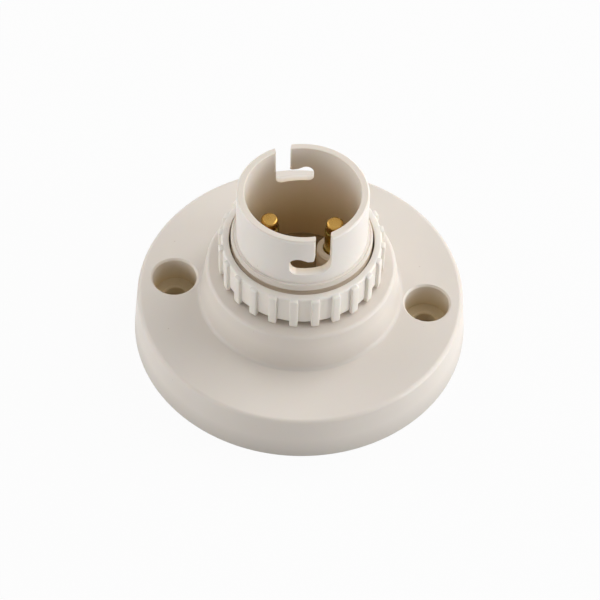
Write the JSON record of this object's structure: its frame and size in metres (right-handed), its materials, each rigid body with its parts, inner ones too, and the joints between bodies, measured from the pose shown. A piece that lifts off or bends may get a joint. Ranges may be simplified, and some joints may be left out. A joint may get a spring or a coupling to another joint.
{
  "type": "batten lampholder",
  "caption": "White batten lampholder with a round screw-down base, a bayonet barrel with spring plunger contacts and a ribbed shade ring.",
  "frame": {"origin": "centre of the base's back face", "axes": "+Z along the lamp's axis away from the mounting surface, X through the two fixing holes"},
  "size_m": [0.0668, 0.0668, 0.0394],
  "materials": {
    "base_moulding": "satin white moulding",
    "socket_moulding": "satin white moulding",
    "ring_moulding": "satin white moulding",
    "block_moulding": "satin cream moulding",
    "contact_brass": "turned brass",
    "terminal_brass": "milled brass",
    "spring_steel": "drawn wire",
    "screw_steel": "plated steel"
  },
  "bodies": {
    "housing": {"base": "base_moulding", "holder_body": "socket_moulding", "contact_block": "block_moulding", "block_screws": "screw_steel", "terminal_left": "terminal_brass", "terminal_right": "terminal_brass", "terminal_screw_left": "screw_steel", "terminal_screw_right": "screw_steel", "spring_left": "spring_steel", "spring_right": "spring_steel"},
    "plunger_left": {"plunger_left": "contact_brass"},
    "plunger_right": {"plunger_right": "contact_brass"},
    "shade_ring": {"shade_ring": "ring_moulding"}
  },
  "joints": [
    {"name": "plunger_left_press", "type": "slide", "parent": "housing", "child": "plunger_left", "axis": [0, 0, -1], "range_m": [0, 0.0055], "stiffness_N_per_m": 1000, "springref_m": -0.0005, "deforming": ["spring_left"]},
    {"name": "plunger_right_press", "type": "slide", "parent": "housing", "child": "plunger_right", "axis": [0, 0, -1], "range_m": [0, 0.0055], "stiffness_N_per_m": 1000, "springref_m": -0.0005, "deforming": ["spring_right"]},
    {"name": "shade_ring_turn", "type": "hinge", "parent": "housing", "child": "shade_ring", "pos_m": [0, 0, 0.0222], "axis": [0, 0, 1], "range_deg": [0, 1080]}
  ]
}
